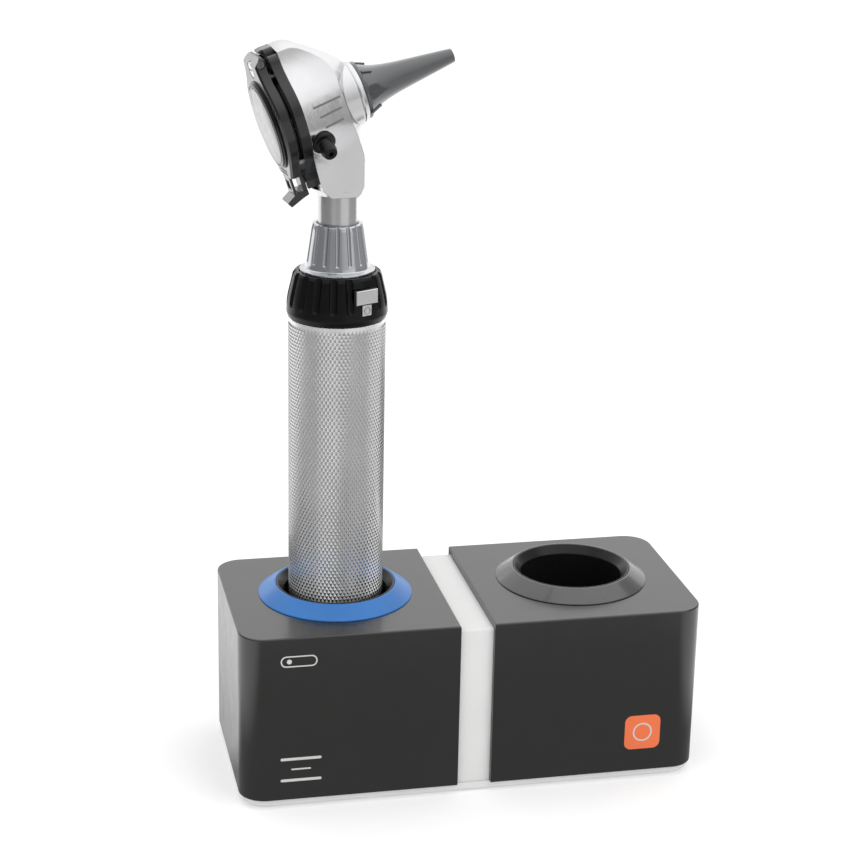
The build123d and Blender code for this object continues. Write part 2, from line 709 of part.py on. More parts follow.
def nose_cone():
    """Seat for the ear tip: a flange on the housing and a taper that the tip slides over."""
    return VIEW_AXIS_AT * turned([
        (4.9, -1.5), (6.8, -1.5), (6.8, NOSE_X), (9.1, NOSE_X), (9.2, NOSE_X + 0.5, 0.3), (8.8, SEAT_X, 0.4),
        (6.4, SEAT_X), (6.4, 7.6, 0.3), (5.05, 11.0), (4.3, 13.0, 0.2), (3.5, 13.0),
    ])


def nose_o_ring():
    """Soft ring behind the nose flange that seals it to the housing."""
    return VIEW_AXIS_AT * tube(6.75, 6.1, -2.4, -1.55)


def fibre_bundle():
    """Light guide from the lamp, up the stem and along the floor of the tunnel to the nose."""
    start = STEM_BOTTOM + 1.2 - AXIS_HEIGHT
    low = [(0, 0, start), (0, 0, start + 6), (1.2, 0, start + 14)]
    return HEAD_AT * sweep(Plane(origin=low[0]) * Circle(1.9), Spline(*low))


def insufflation_port():
    """Barbed air nipple with a round flange, bored right through."""
    nipple = turned([
        (0.8, -1.9), (2.4, -1.9), (2.4, -0.25), (3.5, -0.25), (3.5, 1.0, 0.5), (2.1, 1.2, 0.3), (1.8, 2.6),
        (PORT_RADIUS, 3.0), (PORT_RADIUS, 4.4), (1.9, 5.8, 0.3), (0.8, 5.8),
    ])
    return VIEW_AT * port_at() * nipple


def plate_outline(x, extra):
    """Eyepiece outline with a square tongue above and a narrow foot below, grown by extra."""
    widths = [
        (7.2, 20.3 - extra), (7.4, 17.6), (8.8, 15.0), (11.2, 12.3), (14.0, 9.6), (15.9, 6.8), (16.6, 3.4),
        (16.5, 0.2), (15.7, -3.2), (13.5, -7.2), (10.6, -10.9), (7.8, -14.2), (5.3, -17.6 - extra),
    ]
    face = flank(x, [(w + extra, z) for w, z in widths])
    return fillet(face.vertices().group_by(Axis.Z)[-1], 2.2)


def rear_plate():
    """Fixed black backing plate, with a narrow hook over the top of the swinging window."""
    thick = FLANGE_X - PLATE_X - 0.05
    plate = extrude(plate_outline(PLATE_X, 0.5), thick)
    ridge = block(PLATE_X, FLANGE_X - 0.05, -3.6, 3.6, 19.0, 21.4)
    plate += fillet(ridge.edges().filter_by(Axis.X).group_by(Axis.Z)[-1], 1.4)
    tip, root = STEP_X + 0.15, PLATE_X + 0.1
    hook = outline([(tip, 20.6), (root, 20.0), (root, 21.4), (tip, 21.2)])
    plate += extrude(Plane.XZ * hook, 2.2, both=True)
    for place in (-1, 1):
        claw = block(PLATE_X, FLANGE_X - 0.05, place * 3.6 - 0.8, place * 3.6 + 0.8, -20.6, -17.8)
        plate += claw
    plate -= Rot(0, 90, 0) * rod(9.4, PLATE_X - 1, FLANGE_X + 1)
    plate -= Pos(0, 0, PIVOT_Z) * Rot(0, 90, 0) * rod(1.52, PLATE_X - 1, FLANGE_X + 1)
    for y, z in PLATE_SCREWS:
        plate -= Pos(0, y, z) * Rot(0, 90, 0) * Pos(0, 0, PLATE_X) * screw_cutter(1.6, 0.8, 4.0)
    return VIEW_AT * plate


def plate_screws():
    """Three countersunk screws that hold the backing plate."""
    screw = countersunk_screw(1.6, 0.8, 5.4)
    turn = Rot(0, 90, 0) * Pos(0, 0, PLATE_X + 0.08)
    return [VIEW_AT * Pos(0, y, z) * turn * screw for y, z in PLATE_SCREWS]


def pivot_pin():
    """Pin that the window swings on, fixed in the plate and housing."""
    return VIEW_AT * Pos(0, 0, PIVOT_Z) * Rot(0, 90, 0) * rod(1.5, FACE_X + 0.95, FLANGE_X + 3.0)


# ---- Head: swinging window -----------------------------------------------------------------------
HUB_RADIUS = 12.6
PIVOT_BORE = 1.55
BEZEL_RADIUS = 13.1
TAB_HALF = 3.5
HINGE_SCREW_AT = Location((-19.95, -7.3, 18.5), (90, 0, 0))


def window_tab():
    """Thumb tab below the window, on an arm and a thin strut with a gap between them."""
    arm = block(STEP_X, PLATE_X - 0.15, -3.2, 3.2, -22.4, -15.0)
    strut = block(FACE_X, FACE_X + 0.75, -TAB_HALF, TAB_HALF, -21.3, -15.4)
    strut -= block(FACE_X - 1, FACE_X + 2, -2.2, 2.2, -19.9, -17.2)
    front = PLATE_X - 0.15
    side = outline([
        (-20.2, -20.6), (-24.3, -22.8), (-23.5, -24.3), (-19.5, -22.9), (front, -22.4), (front, -21.2),
    ])
    tab = extrude(Plane.XZ * side, TAB_HALF, both=True)
    tab = fillet(tab.edges().filter_by(Axis.Y).sort_by(Axis.X)[:2], 0.4)
    return arm + strut + tab


def window_frame():
    """Black swinging frame: hub round the lens, tongue round the pivot and the thumb tab."""
    body = extrude(plate_outline(FACE_X, 0), STEP_X - FACE_X)
    body = chamfer(body.faces().sort_by(Axis.X)[0].outer_wire().edges(), 0.6)
    brow = outline([(FACE_X - 1.2, 17.1), (-19.3, 20.5), (-19.3, 22.5), (FACE_X - 1.2, 22.5)])
    body -= extrude(Plane.XZ * brow, 10, both=True)
    body -= block(FACE_X - 1, STEP_X + 1, -9, 9, -20, -15.6)
    body += Rot(0, 90, 0) * rod(HUB_RADIUS, STEP_X - 0.1, PLATE_X - 0.15)
    body += Pos(0, 0, PIVOT_Z) * Rot(0, 90, 0) * rod(3.3, STEP_X - 0.1, PLATE_X - 0.15)
    body += window_tab()
    body -= Rot(0, 90, 0) * rod(LENS_RADIUS + 0.05, FACE_X - 1, STEP_X - 0.3)
    body -= Rot(0, 90, 0) * rod(9.6, FACE_X - 1, PLATE_X + 1)
    body -= Rot(0, 90, 0) * tube(12.1, 10.5, PLATE_X - 0.75, PLATE_X + 1)
    body -= Pos(0, 0, PIVOT_Z) * Rot(0, 90, 0) * rod(PIVOT_BORE, FACE_X - 1, PLATE_X + 1)
    body -= Pos(0, 0, PIVOT_Z) * Rot(0, 90, 0) * rod(2.45, FACE_X - 1, FACE_X + 0.9)
    for z in (-13.9, -14.9):
        body -= block(FACE_X - 1, FACE_X + 0.35, -3.6, 3.6, z - 0.25, z + 0.25)
    body -= HINGE_SCREW_AT * (rod(1.2, -0.7, 3) + rod(0.78, -4.2, 0))
    return VIEW_AT * body


def hinge_screw():
    """Small slotted screw in the near edge of the frame, beside the pivot."""
    screw = rod(1.1, -0.65, -0.1) + rod(0.75, -3.8, -0.6)
    return VIEW_AT * HINGE_SCREW_AT * (screw - Pos(0, 0, -0.1) * Box(0.4, 2.4, 0.5))


def lens_bezel():
    """Raised rim that holds the magnifier in the frame."""
    bore = LENS_RADIUS + 0.05
    return VIEW_AXIS_AT * turned([
        (bore, FACE_X - 0.02),
        (BEZEL_RADIUS, FACE_X - 0.02),
        (BEZEL_RADIUS, FACE_X - 0.35),
        (BEZEL_RADIUS - 0.3, FACE_X - 0.6),
        (BEZEL_RADIUS - 0.5, FACE_X - 0.6),
        (BEZEL_RADIUS - 0.6, FACE_X - 1.0, 0.2),
        (bore, FACE_X - 1.05),
    ])


def magnifier_lens():
    """Glass lens that stands proud of its rim: flat inside, gently domed towards the eye."""
    edge, face, seat = FACE_X - 0.9, FACE_X - 1.2, STEP_X - 0.35
    dome = ThreePointArc((0, FACE_X - 1.7), (6.0, FACE_X - 1.56), (11.4, face))
    edges = Polyline((11.4, face), (LENS_RADIUS, edge), (LENS_RADIUS, seat), (0, seat), (0, FACE_X - 1.7))
    return VIEW_AXIS_AT * revolve(Plane.XZ * make_face(Curve() + [dome, edges]), Axis.Z)


def window_seal():
    """Rubber ring in the hub that closes the window against the plate."""
    return VIEW_AXIS_AT * tube(12.05, 10.55, PLATE_X - 0.7, PLATE_X - 0.08)


def pivot_cap():
    """Slotted cap on the pin that keeps the window on its pivot."""
    cap = turned([(0, FACE_X + 0.05), (2.3, FACE_X + 0.05, 0.2), (2.3, FACE_X + 0.85), (0, FACE_X + 0.85)])
    cap -= Pos(0, 0, FACE_X) * Box(0.6, 3.4, 0.7)
    return VIEW_AT * Pos(0, 0, PIVOT_Z) * Rot(0, 90, 0) * cap


# ---- Ear tip -------------------------------------------------------------------------------------
def speculum():
    """Removable ear tip: a flared funnel with a rim and seven short ribs."""
    outer = [
        (7.6, 7.6), (6.95, 9.2), (6.2, 11.0), (5.5, 13.2), (4.6, 17.5), (3.85, 22.8), (3.15, 28.2), (2.1, TIP_X),
    ]
    inner = [
        (1.5, TIP_X), (2.45, 28.2), (3.15, 22.8), (3.85, 17.5), (4.7, 13.2), (5.5, 11.0), (6.25, 9.2), (6.85, 7.6),
    ]
    rim = SEAT_X + 0.1
    edges = [
        Spline(*outer),
        Line(outer[-1], inner[0]),
        Spline(*inner),
        Polyline(inner[-1], (6.85, rim), (8.65, rim), (8.65, rim + 0.9), (7.9, rim + 1.1), outer[0]),
    ]
    funnel = revolve(Plane.XZ * make_face(Curve() + edges), Axis.Z)
    lip = funnel.edges().filter_by(GeomType.CIRCLE).group_by(Axis.Z)[-1]
    funnel = fillet(lip, 0.2)
    for turn in ring_of(0, 7, 167):
        funnel += turn * Pos(7.1, 0, 9.0) * Rot(0, -22, 0) * Box(0.9, 0.6, 3.4)
    return VIEW_AXIS_AT * funnel


def build_head():
    """Writes every piece of the head, its window and the ear tip."""
    save("bayonet_collar", HANDLE_AT * bayonet_collar())
    save("neck_tube", HANDLE_AT * neck_tube())
    save("led_module", HANDLE_AT * led_module())
    save("lamp_contact", HANDLE_AT * lamp_contact())
    save("contact_bush", HANDLE_AT * contact_bush())
    save("head_housing", head_housing())
    save("nose_cone", nose_cone())
    save("nose_o_ring", nose_o_ring())
    save("fibre_bundle", fibre_bundle())
    save("insufflation_port", insufflation_port())
    save("rear_plate", rear_plate())
    save("plate_screws", *plate_screws())
    save("pivot_pin", pivot_pin())
    save("window_frame", window_frame())
    save("hinge_screw", hinge_screw())
    save("lens_bezel", lens_bezel())
    save("magnifier_lens", magnifier_lens())
    save("window_seal", window_seal())
    save("pivot_cap", pivot_cap())
    save("speculum", speculum())


os.makedirs("parts", exist_ok=True)
build_base()
build_handle()
build_head()
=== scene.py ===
"""Looks of the otoscope in its charging base: materials, knurl, marks, spring, light and camera."""
import math

import bpy
from mathutils import Matrix, Vector


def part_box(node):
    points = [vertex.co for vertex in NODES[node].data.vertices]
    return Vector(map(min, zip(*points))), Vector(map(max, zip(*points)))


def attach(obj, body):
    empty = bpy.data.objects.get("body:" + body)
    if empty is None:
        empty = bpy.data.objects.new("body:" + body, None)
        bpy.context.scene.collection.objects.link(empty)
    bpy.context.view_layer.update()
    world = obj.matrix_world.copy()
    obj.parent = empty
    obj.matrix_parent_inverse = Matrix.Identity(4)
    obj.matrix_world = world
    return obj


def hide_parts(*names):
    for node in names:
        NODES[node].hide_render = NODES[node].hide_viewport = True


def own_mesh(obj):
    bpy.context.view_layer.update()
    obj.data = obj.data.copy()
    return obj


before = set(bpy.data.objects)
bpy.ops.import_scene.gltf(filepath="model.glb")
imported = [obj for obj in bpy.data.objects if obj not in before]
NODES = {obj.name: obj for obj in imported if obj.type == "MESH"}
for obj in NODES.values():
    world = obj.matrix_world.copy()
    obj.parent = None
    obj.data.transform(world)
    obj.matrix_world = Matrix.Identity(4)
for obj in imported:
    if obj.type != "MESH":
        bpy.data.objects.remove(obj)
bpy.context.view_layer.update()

MM = 0.001
HANDLE = Vector((-37.75, 1.0, 0.0)) * MM
HEAD_TURN = math.radians(6.3)
VIEW_TILT = math.radians(18.3)
VIEW_CENTRE = HANDLE + Vector((0, 0, 208.7)) * MM
VIEW = (Matrix.Translation(VIEW_CENTRE)
        @ Matrix.Rotation(HEAD_TURN, 4, "Z") @ Matrix.Rotation(-VIEW_TILT, 4, "Y"))


# ---- Node materials ------------------------------------------------------------------------------
class Look:
    """Small helper that strings shader nodes together for one material."""

    def __init__(self, name):
        self.mat = bpy.data.materials.new(name)
        self.mat.use_nodes = True
        self.tree = self.mat.node_tree
        self.bsdf = self.tree.nodes["Principled BSDF"]
        self.coord = self.node("ShaderNodeTexCoord").outputs["Object"]

    def node(self, kind, **values):
        made = self.tree.nodes.new(kind)
        for key, value in values.items():
            if key in made.inputs:
                made.inputs[key].default_value = value
            else:
                setattr(made, key, value)
        return made

    def link(self, source, target):
        self.tree.links.new(source, target)

    def stretched(self, scale, turn=(0, 0, 0)):
        """Object coordinates scaled differently along each axis, for brushed or drawn grain."""
        mapping = self.node("ShaderNodeMapping")
        mapping.inputs["Scale"].default_value = scale
        mapping.inputs["Rotation"].default_value = turn
        self.link(self.coord, mapping.inputs["Vector"])
        return mapping.outputs["Vector"]

    def noise(self, scale, detail=3.0, rough=0.55, vector=None):
        made = self.node("ShaderNodeTexNoise", Scale=scale, Detail=detail, Roughness=rough)
        self.link(vector or self.coord, made.inputs["Vector"])
        return made.outputs["Fac"]

    def spots(self, scale, vector=None):
        made = self.node("ShaderNodeTexVoronoi", Scale=scale)
        self.link(vector or self.coord, made.inputs["Vector"])
        return made.outputs["Distance"]

    def ranged(self, value, low, high, out_low, out_high):
        made = self.node("ShaderNodeMapRange")
        made.inputs["From Min"].default_value = low
        made.inputs["From Max"].default_value = high
        made.inputs["To Min"].default_value = out_low
        made.inputs["To Max"].default_value = out_high
        self.link(value, made.inputs["Value"])
        return made.outputs["Result"]

    def math(self, operation, first, second=0.0):
        made = self.node("ShaderNodeMath", operation=operation)
        for socket, value in zip(made.inputs, (first, second)):
            if isinstance(value, float):
                socket.default_value = value
            else:
                self.link(value, socket)
        return made.outputs[0]

    def mixed(self, factor, first, second):
        made = self.node("ShaderNodeMix", data_type="RGBA")
        made.inputs[6].default_value = (*first, 1)
        made.inputs[7].default_value = (*second, 1)
        self.link(factor, made.inputs[0])
        return made.outputs[2]

    def bumps(self, layers, edge=0.0):
        """Stacks (height, strength, distance in mm) bumps on an edge-softened normal."""
        normal = None
        if edge:
            soft = self.node("ShaderNodeBevel", samples=6)
            soft.inputs["Radius"].default_value = edge * MM
            normal = soft.outputs["Normal"]
        for height, strength, distance in layers:
            bump = self.node("ShaderNodeBump", Strength=strength, Distance=distance * MM)
            self.link(height, bump.inputs["Height"])
            if normal:
                self.link(normal, bump.inputs["Normal"])
            normal = bump.outputs["Normal"]
        if normal:
            self.link(normal, self.bsdf.inputs["Normal"])

    def set(self, **values):
        for key, value in values.items():
            self.bsdf.inputs[key.replace("_", " ")].default_value = value


def metal(name, color, rough, spread=0.06, grain=0.12, edge=0.15, drawn=None, wave=0.06):
    """Bare or plated metal with uneven polish and a fine blasted or drawn grain."""
    look = Look(name)
    look.set(Metallic=1.0)
    cloud = look.noise(90, 4)
    tone = tuple(c * 0.93 for c in color)
    look.link(look.mixed(look.ranged(cloud, 0.3, 0.7, 0, 1), color, tone), look.bsdf.inputs["Base Color"])
    fine = look.noise(6500, 2) if drawn is None else look.noise(900, 3, vector=look.stretched(drawn))
    worn = look.ranged(look.noise(420, 5, 0.7), 0.25, 0.75, rough - spread, rough + spread)
    look.link(worn, look.bsdf.inputs["Roughness"])
    look.bumps([(cloud, wave, 0.4), (fine, grain, 0.02)], edge)
    return look.mat


def plastic(name, color, rough, spread=0.05, grain=0.1, size=4000, edge=0.15, coat=0.0, tone=0.8,
            shine=0.5):
    """Moulded or painted plastic with a fine texture, smears and slightly uneven gloss."""
    look = Look(name)
    look.set(IOR=1.5, Coat_Weight=coat, Coat_Roughness=0.08, Specular_IOR_Level=shine)
    cloud = look.noise(60, 4)
    shade = tuple(c * tone for c in color)
    patchy = look.ranged(cloud, 0.35, 0.65, 0, 1)
    look.link(look.mixed(patchy, color, shade), look.bsdf.inputs["Base Color"])
    smear = look.ranged(look.noise(160, 6, 0.65), 0.3, 0.7, rough - spread, rough + spread)
    look.link(smear, look.bsdf.inputs["Roughness"])
    look.bumps([(cloud, 0.03, 0.2), (look.noise(size, 2), grain, 0.03)], edge)
    return look.mat


def rubber(name):
    look = Look(name)
    look.set(IOR=1.45)
    dust = look.ranged(look.noise(300, 6, 0.7), 0.45, 0.8, 0, 1)
    look.link(look.mixed(dust, (0.018, 0.018, 0.019), (0.05, 0.05, 0.048)), look.bsdf.inputs["Base Color"])
    look.link(look.ranged(look.noise(900), 0.3, 0.7, 0.6, 0.8), look.bsdf.inputs["Roughness"])
    look.bumps([(look.spots(3000), 0.25, 0.05)], 0.2)
    return look.mat


def glowing(name, color, glow, strength):
    """Milky light ring lit from below."""
    look = Look(name)
    cloud = look.ranged(look.noise(70, 3), 0.3, 0.7, 0, 1)
    look.link(look.mixed(cloud, color, tuple(c * 0.85 for c in color)), look.bsdf.inputs["Base Color"])
    look.link(look.mixed(cloud, glow, tuple(c * 0.9 for c in glow)), look.bsdf.inputs["Emission Color"])
    look.set(Emission_Strength=strength, Roughness=0.3, Specular_IOR_Level=0.4)
    look.bumps([(look.noise(2500, 2), 0.05, 0.03)], 0.2)
    return look.mat


def glass(name, tint, rough=0.03):
    look = Look(name)
    look.set(IOR=1.5, Transmission_Weight=1.0, Base_Color=(*tint, 1))
    smear = look.ranged(look.noise(200, 5, 0.7), 0.3, 0.8, rough * 0.4, rough * 1.6)
    look.link(smear, look.bsdf.inputs["Roughness"])
    look.bumps([(look.noise(50, 2), 0.01, 0.1)])
    return look.mat


def board(name):
    look = Look(name)
    tracks = look.ranged(look.spots(500), 0.0, 0.12, 0.0, 1.0)
    look.link(look.mixed(tracks, (0.02, 0.12, 0.05), (0.015, 0.075, 0.035)), look.bsdf.inputs["Base Color"])
    look.set(Roughness=0.35, Coat_Weight=0.4)
    look.bumps([(tracks, 0.3, 0.05)], 0.1)
    return look.mat


BLACK = plastic("satin_black_housing", (0.0050, 0.0040, 0.0035), 0.22, 0.03, 0.06, 5200, 0.12, shine=1.0)
SATIN = plastic("moulded_black", (0.004, 0.004, 0.0042), 0.30, 0.05, 0.10, 4200, 0.15, shine=0.3)
FRAME = plastic("eyepiece_black", (0.005, 0.005, 0.0052), 0.20, 0.04, 0.06, 4200, 0.2, coat=0.3, shine=0.5)
RING = plastic("control_ring_black", (0.003, 0.003, 0.0031), 0.26, 0.04, 0.08, 4200, 0.2, shine=0.18)
WELL = plastic("well_black", (0.008, 0.008, 0.009), 0.30, 0.05, 0.10, 3000, 0.2, shine=0.3)
GLOSS = plastic("gloss_black_ring", (0.070, 0.070, 0.073), 0.24, 0.03, 0.05, 3000, 0.2, coat=0.4)
SILVER = plastic("silver_paint", (0.71, 0.71, 0.705), 0.34, 0.05, 0.08, 6000, 0.08, tone=0.97)
RUBBER = rubber("black_rubber")
BLUE = glowing("blue_light_ring", (0.018, 0.105, 0.34), (0.03, 0.27, 0.68), 0.25)
CHROME = metal("satin_chrome", (0.65, 0.65, 0.66), 0.18, 0.03, 0.02, 0.35, wave=0.5)
COLLAR = metal("collar_chrome", (0.56, 0.57, 0.60), 0.13, 0.02, 0.02, 0.2)
NECK = metal("neck_chrome", (0.60, 0.60, 0.60), 0.24, 0.02, 0.01, 0.15, drawn=(0.05, 0.05, 4.0))
BUTTON = metal("button_chrome", (0.62, 0.62, 0.63), 0.28, 0.04, 0.04, 0.2)
STEEL = metal("steel", (0.58, 0.58, 0.59), 0.30, 0.08, 0.10, 0.1)
KNURL = metal("knurled_chrome", (0.80, 0.80, 0.80), 0.27, 0.04, 0.02, 0.0)
ALUMINIUM = metal("machined_aluminium", (0.66, 0.67, 0.69), 0.33, 0.06, 0.12, 0.12, drawn=(0.05, 0.05, 4.0))
GOLD = metal("gold_plate", (0.86, 0.62, 0.26), 0.22, 0.06, 0.08, 0.08)
BRASS = metal("lamp_brass", (0.72, 0.55, 0.27), 0.32, 0.08, 0.12, 0.08)
CELL = plastic("battery_film", (0.03, 0.11, 0.30), 0.25, 0.05, 0.06, 2500, 0.1)
WHITE = plastic("insulator_white", (0.74, 0.73, 0.70), 0.45, 0.06, 0.12, 2500, 0.1, tone=0.92)
BEZEL = plastic("lens_bezel", (0.003, 0.003, 0.003), 0.16, 0.03, 0.04, 4000, 0.1, tone=0.9, shine=0.3)
TIP = plastic("ear_tip", (0.022, 0.026, 0.030), 0.16, 0.03, 0.04, 3500, 0.1, coat=1.0, tone=0.85, shine=0.9)
DARK = metal("dark_steel", (0.16, 0.16, 0.16), 0.35, 0.05, 0.05, 0.1)
INK = plastic("printed_white", (0.55, 0.55, 0.54), 0.5, 0.05, 0.10, 5000, 0, tone=0.9)
ORANGE = plastic("printed_orange", (0.80, 0.16, 0.045), 0.45, 0.05, 0.08, 5000, 0, tone=0.92)
ETCH = plastic("etched_grey", (0.16, 0.155, 0.15), 0.6, 0.05, 0.10, 5000, 0, tone=0.9, shine=0.1)
LENS = glass("lens_glass", (0.62, 0.62, 0.61), 0.15)
GUIDE = glass("light_guide", (0.95, 0.96, 0.90), 0.1)
BOARD = board("circuit_board")

LOOKS = {
    "base_plate": SILVER, "rubber_feet": RUBBER, "base_screws": STEEL, "left_housing": BLACK,
    "right_housing": BLACK, "centre_spine": SILVER, "left_well_cup": WELL, "right_well_cup": WELL,
    "left_light_ring": BLUE, "right_light_ring": GLOSS, "ring_led_boards": BOARD, "charger_board": BOARD,
    "board_components": SATIN, "power_socket": SATIN, "contact_sleeves": GOLD, "left_plunger_spring": STEEL,
    "right_plunger_spring": STEEL, "leaf_contacts": GOLD, "left_contact_plunger": GOLD,
    "right_contact_plunger": GOLD, "handle_tube": KNURL, "end_cap": SATIN, "end_contact": GOLD,
    "end_ring_contact": GOLD, "battery_cell": CELL, "battery_spring": STEEL, "socket_core": ALUMINIUM,
    "control_board": BOARD, "contact_insulator": WHITE, "head_contact_pin": GOLD, "ring_retainer": STEEL,
    "friction_ring": RUBBER, "brightness_ring": RING, "index_plate": BUTTON, "button_spring": STEEL,
    "release_button": BUTTON, "bayonet_collar": COLLAR, "neck_tube": NECK, "led_module": BRASS,
    "lamp_contact": GOLD, "contact_bush": WHITE, "head_housing": CHROME, "nose_cone": CHROME,
    "nose_o_ring": RUBBER, "fibre_bundle": GUIDE, "insufflation_port": SATIN, "rear_plate": FRAME,
    "plate_screws": STEEL, "pivot_pin": STEEL, "pivot_cap": CHROME, "window_frame": FRAME,
    "hinge_screw": DARK, "lens_bezel": BEZEL, "magnifier_lens": LENS, "window_seal": RUBBER,
    "speculum": TIP,
}
for node_name, material in LOOKS.items():
    mesh = NODES[node_name].data
    mesh.materials.clear()
    mesh.materials.append(material)


# ---- Mesh helpers --------------------------------------------------------------------------------
def piece(name, verts, faces, material, body=None):
    """New object from vertices in metres, riding on a CAD body."""
    mesh = bpy.data.meshes.new(name)
    mesh.from_pydata(verts, [], faces)
    mesh.validate()
    mesh.materials.append(material)
    made = bpy.data.objects.new(name, mesh)
    bpy.context.scene.collection.objects.link(made)
    if body:
        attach(made, body)
    return made


# ---- Knurled grip --------------------------------------------------------------------------------
KNURL_ROUND = 73
KNURL_PITCH = 2.1
KNURL_CREST = 14.5
KNURL_DEPTH = 0.36
KNURL_FLAT = 0.07
KNURL_RUNOUT = 0.15
TOP_BAND = 1.3
BOTH_BANDS = 3.2
GRIP_CHAMFER = 0.25
GRIP_BORE = 13.3


def knurled_grip():
    """Grip tube whose outside is a lattice of flat-topped diamonds between two plain bands."""
    low, high = (corner.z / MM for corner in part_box("handle_tube"))
    half, columns = KNURL_PITCH / 2, 2 * KNURL_ROUND
    rows = 2 * int((high - low - BOTH_BANDS) / KNURL_PITCH)
    start = high - TOP_BAND - rows * half
    valley = KNURL_CREST - KNURL_DEPTH
    verts, faces = [], []

    def put(radius, column, z):
        angle = 2 * math.pi * column / columns
        x, y = radius * math.cos(angle), radius * math.sin(angle)
        verts.append((HANDLE.x + x * MM, HANDLE.y + y * MM, z * MM))
        return len(verts) - 1

    def ring(radius, z):
        return [put(radius, c, z) for c in range(1, columns, 2)]

    def join(first, second):
        for c in range(KNURL_ROUND):
            d = (c + 1) % KNURL_ROUND
            faces.append((first[c], first[d], second[d], second[c]))

    grid = {}
    for r in range(rows + 1):
        for c in range((r + 1) % 2, columns, 2):
            grid[c, r] = put(valley, c, start + r * half)
    for r in range(rows + 1):
        for c in range(r % 2, columns, 2):
            around = [((c + 1) % columns, r), (c, r + 1), ((c - 1) % columns, r), (c, r - 1)]
            foot = [grid[key] for key in around if key in grid]
            if len(foot) < 4:
                faces.append(tuple(foot))
                continue
            z = start + r * half
            f = KNURL_FLAT
            top = [put(KNURL_CREST, c + f, z), put(KNURL_CREST, c, z + f * half),
                   put(KNURL_CREST, c - f, z), put(KNURL_CREST, c, z - f * half)]
            faces.append(tuple(top))
            for k in range(4):
                m = (k + 1) % 4
                faces.append((foot[k], foot[m], top[m], top[k]))
    last = [grid[c, rows] for c in range(1, columns, 2)]
    first = [grid[c, 0] for c in range(1, columns, 2)]
    outside = [last, ring(KNURL_CREST, start + rows * half + KNURL_RUNOUT),
               ring(KNURL_CREST, high - GRIP_CHAMFER), ring(KNURL_CREST - GRIP_CHAMFER, high),
               ring(GRIP_BORE, high), ring(GRIP_BORE, low),
               ring(KNURL_CREST - GRIP_CHAMFER, low), ring(KNURL_CREST, low + GRIP_CHAMFER),
               ring(KNURL_CREST, start - KNURL_RUNOUT), first]
    for one, other in zip(outside, outside[1:]):
        join(one, other)
    grip = piece("knurled_grip", verts, faces, KNURL, "handle")
    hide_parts("handle_tube")


knurled_grip()


def sprung_contact():
    """Copy of the spring under the free contact, with a mesh of its own, riding on the base in place of the
    hidden CAD spring.
    """
    source = NODES["right_plunger_spring"]
    spring = source.copy()
    spring.data = source.data.copy()
    spring.name = "pressed_spring"
    spring.parent = None
    bpy.context.scene.collection.objects.link(spring)
    spring.matrix_world = source.matrix_world
    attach(spring, "base")
    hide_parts("right_plunger_spring")
    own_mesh(spring)


sprung_contact()


# ---- Plain marks ---------------------------------------------------------------------------------
FRONT_FACE = -32.0
PRINT_LIFT = 0.02
CAPSULE = (-54.2, 48.3)
CAPSULE_DOT = (-57.1, 48.3)
BARS_X = -53.6
BARS = {"upper": (16.4, 12.4, 0.9), "middle": (13.0, 6.0, 0.5), "lower": (9.4, 12.4, 0.9)}
BADGE = (53.2, 16.0)
ETCH_STEPS = 16
ETCH_HEIGHT = 0.6
ETCH_LIFT = 0.03


def rounded(x, z, width, height, radius, steps=6):
    """Corner points of a rounded rectangle centred on (x, z), anticlockwise."""
    points = []
    for k, (sx, sz) in enumerate([(1, 1), (-1, 1), (-1, -1), (1, -1)]):
        cx, cz = x + sx * (width / 2 - radius), z + sz * (height / 2 - radius)
        for step in range(steps + 1):
            angle = math.pi / 2 * (k + step / steps)
            points.append((cx + radius * math.cos(angle), cz + radius * math.sin(angle)))
    return points


def front_mark(name, material, rim, hole=None, lift=PRINT_LIFT):
    """Flat print on the front of the base, with an open middle if a second rim is given."""
    y = FRONT_FACE - lift
    verts = [(x * MM, y * MM, z * MM) for x, z in rim + (hole or [])]
    n = len(rim)
    if hole:
        faces = [(k, (k + 1) % n, n + (k + 1) % n, n + k) for k in range(n)]
    else:
        faces = [tuple(range(n))]
    return piece(name, verts, faces, material, "base")


def base_marks():
    """Outlined capsule, three bars and an orange square with a ring: plain shapes, no lettering."""
    front_mark("capsule_mark", INK, rounded(*CAPSULE, 11.0, 3.6, 1.7), rounded(*CAPSULE, 10.2, 2.8, 1.35))
    front_mark("capsule_dot", INK, rounded(*CAPSULE_DOT, 1.5, 1.5, 0.74))
    for name, (z, width, height) in BARS.items():
        front_mark(name + "_bar", INK, rounded(BARS_X, z, width, height, height * 0.45))
    front_mark("orange_square", ORANGE, rounded(*BADGE, 11.4, 11.4, 2.2))
    ring = rounded(*BADGE, 6.2, 6.2, 3.09), rounded(*BADGE, 5.2, 5.2, 2.59)
    front_mark("orange_ring", INK, *ring, lift=1.5 * PRINT_LIFT)


def etched_line(name, start, end):
    """Thin line on the near flank of the head, laid on the metal from (along, up) to (along, up)."""
    skin = NODES["head_housing"]
    inward = skin.matrix_world.inverted()
    toward = (VIEW.to_3x3() @ Vector((0, 1, 0))).normalized()
    verts = []
    for k in range(ETCH_STEPS + 1):
        s, t = (start[i] + (end[i] - start[i]) * k / ETCH_STEPS for i in (0, 1))
        for side in (-0.5, 0.5):
            above = VIEW @ (Vector((s, -30, t + side * ETCH_HEIGHT)) * MM)
            hit = skin.ray_cast(inward @ above, inward.to_3x3() @ toward)[1]
            verts.append(tuple(skin.matrix_world @ hit - toward * ETCH_LIFT * MM))
    faces = [(2 * k, 2 * k + 2, 2 * k + 3, 2 * k + 1) for k in range(ETCH_STEPS)]
    piece(name, verts, faces, ETCH, "head")


